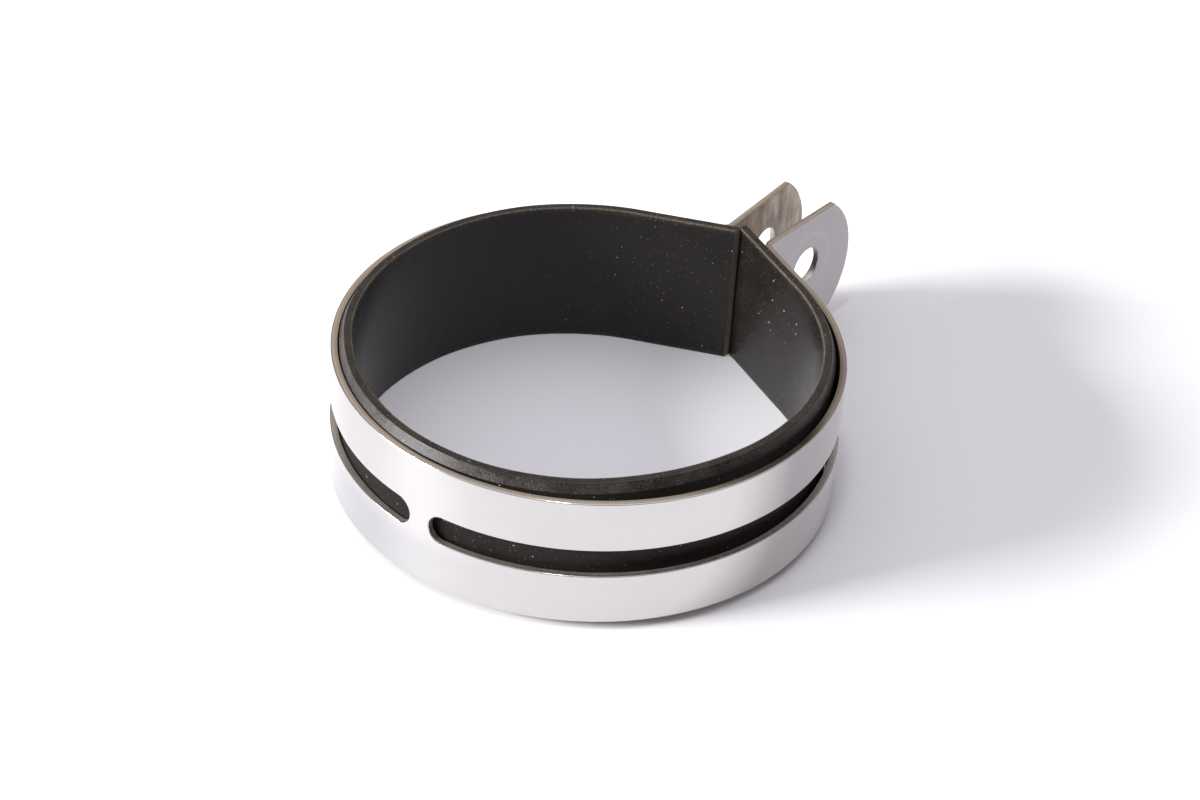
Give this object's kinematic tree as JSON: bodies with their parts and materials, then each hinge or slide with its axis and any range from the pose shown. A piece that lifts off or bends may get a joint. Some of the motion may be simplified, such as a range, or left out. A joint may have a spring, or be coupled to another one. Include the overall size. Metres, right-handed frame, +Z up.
{
  "type": "band clamp",
  "caption": "Rubber-lined stainless band clamp for a round pipe or silencer, with two long slots in the band and two upright ears drilled for one bolt.",
  "frame": {"origin": "on the ring's axis, level with the liner's lower edge, on which the clamp stands", "axes": "+Z up along the ring's axis, +Y from the axis out through the mouth between the two ears, +X to the right when looking along +Y"},
  "size_m": [0.108, 0.1417, 0.034],
  "materials": {
    "polished_stainless": "polished stainless steel sheet, sheared edges",
    "black_rubber": "smooth moulded rubber strip, slightly dusty"
  },
  "bodies": {
    "left_side": {"strap_left_half": "polished_stainless", "liner_left_half": "black_rubber"},
    "right_side": {"strap_right_half": "polished_stainless", "liner_right_half": "black_rubber"}
  },
  "joints": [
    {"name": "flex_open", "type": "hinge", "parent": "left_side", "child": "right_side", "pos_m": [0, -0.05325, 0.017], "axis": [0, 0, -1], "range_deg": [0, 8], "stiffness_Nm_per_rad": 10}
  ]
}
